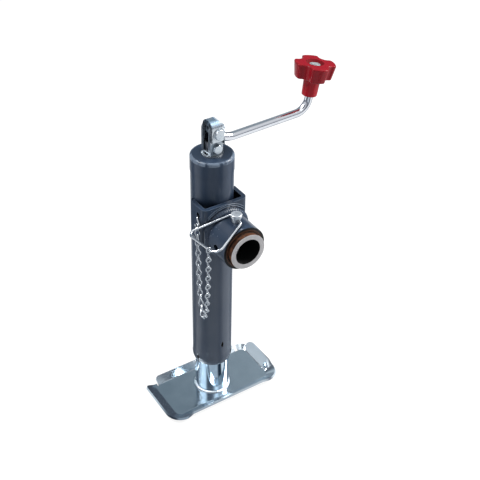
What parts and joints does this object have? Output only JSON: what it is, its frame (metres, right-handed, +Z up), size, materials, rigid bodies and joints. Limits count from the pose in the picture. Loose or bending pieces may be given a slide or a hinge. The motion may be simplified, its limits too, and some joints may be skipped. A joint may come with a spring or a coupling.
{
  "type": "top wind swivel trailer jack",
  "caption": "Screw jack: square to the ground tube and ram on a tray foot, folding top crank with a lobed knob, swivel pipe mount with lock pin.",
  "frame": {"origin": "centre of the foot's sole, on the ground under the outer tube's axis", "axes": "+Z up along the tube, +X towards the crank and along the foot's long side at rest, -Y towards the mount pipe"},
  "size_m": [0.2447, 0.1209, 0.4473],
  "materials": {
    "blue_grey_paint": "satin baked enamel",
    "zinc": "bright zinc plate with a faint blue tint",
    "bright_rod": "bright drawn and zinc plated",
    "bare_steel": "bare, sawn at the end and browned on the side",
    "bearing_steel": "ground and greased",
    "red_plastic": "moulded, slightly glossy"
  },
  "bodies": {
    "casing": {"outer_tube": "blue_grey_paint", "tube_cap": "blue_grey_paint", "cap_washer": "zinc", "upper_race": "bearing_steel", "thrust_rollers": "bearing_steel", "swivel_bracket": "blue_grey_paint", "bracket_welds": "blue_grey_paint", "swivel_sleeve": "blue_grey_paint", "sleeve_weld": "blue_grey_paint", "chain_hook": "zinc", "safety_chain": "zinc"},
    "screw": {"lead_screw": "bearing_steel", "lower_race": "bearing_steel", "screw_collar": "bearing_steel", "collar_pin": "bearing_steel", "crank_clevis": "zinc", "clevis_bolt": "zinc", "clevis_nut": "zinc", "pivot_pin": "zinc", "pivot_washer": "zinc", "pivot_clip": "zinc", "pivot_spacer": "zinc"},
    "ram": {"ram_tube": "zinc", "drive_nut": "bearing_steel", "foot_weld": "zinc", "foot_plate": "zinc"},
    "crank": {"crank_hood": "zinc", "crank_rod": "bright_rod", "knob_washer": "zinc"},
    "grip": {"knob": "red_plastic"},
    "pin": {"lock_pin": "zinc"},
    "bail": {"pin_bail": "zinc"},
    "mount": {"mount_pipe": "bare_steel"}
  },
  "joints": [
    {"name": "screw_turn", "type": "hinge", "parent": "casing", "child": "screw", "pos_m": [0, 0, 0.3], "axis": [0, 0, 1], "range_deg": [0, 18000]},
    {"name": "ram_slide", "type": "slide", "parent": "casing", "child": "ram", "axis": [0, 0, -1], "range_m": [0, 0.254]},
    {"name": "handle_fold", "type": "hinge", "parent": "screw", "child": "crank", "pos_m": [0, -0.005, 0.395], "axis": [0, -1, 0], "range_deg": [0, 90]},
    {"name": "knob_spin", "type": "hinge", "parent": "crank", "child": "grip", "pos_m": [0.13305, -0.005, 0.42491], "axis": [0.1513, 0, 0.9885], "continuous": true},
    {"name": "lock_pin_pull", "type": "slide", "parent": "casing", "child": "pin", "axis": [0, 0, 1], "range_m": [0, 0.066], "deforming": ["safety_chain"]},
    {"name": "bail_swing", "type": "hinge", "parent": "pin", "child": "bail", "pos_m": [0, -0.052, 0.304], "axis": [0, 1, 0], "range_deg": [0, 101], "deforming": ["safety_chain"]},
    {"name": "mount_swivel", "type": "hinge", "parent": "casing", "child": "mount", "pos_m": [0, -0.054, 0.273], "axis": [0, 1, 0], "range_deg": [-0.7, 0.7]}
  ],
  "couplings": [
    {"joint": "ram_slide", "follows": "screw_turn", "m_per_rad": 0.0008085}
  ]
}
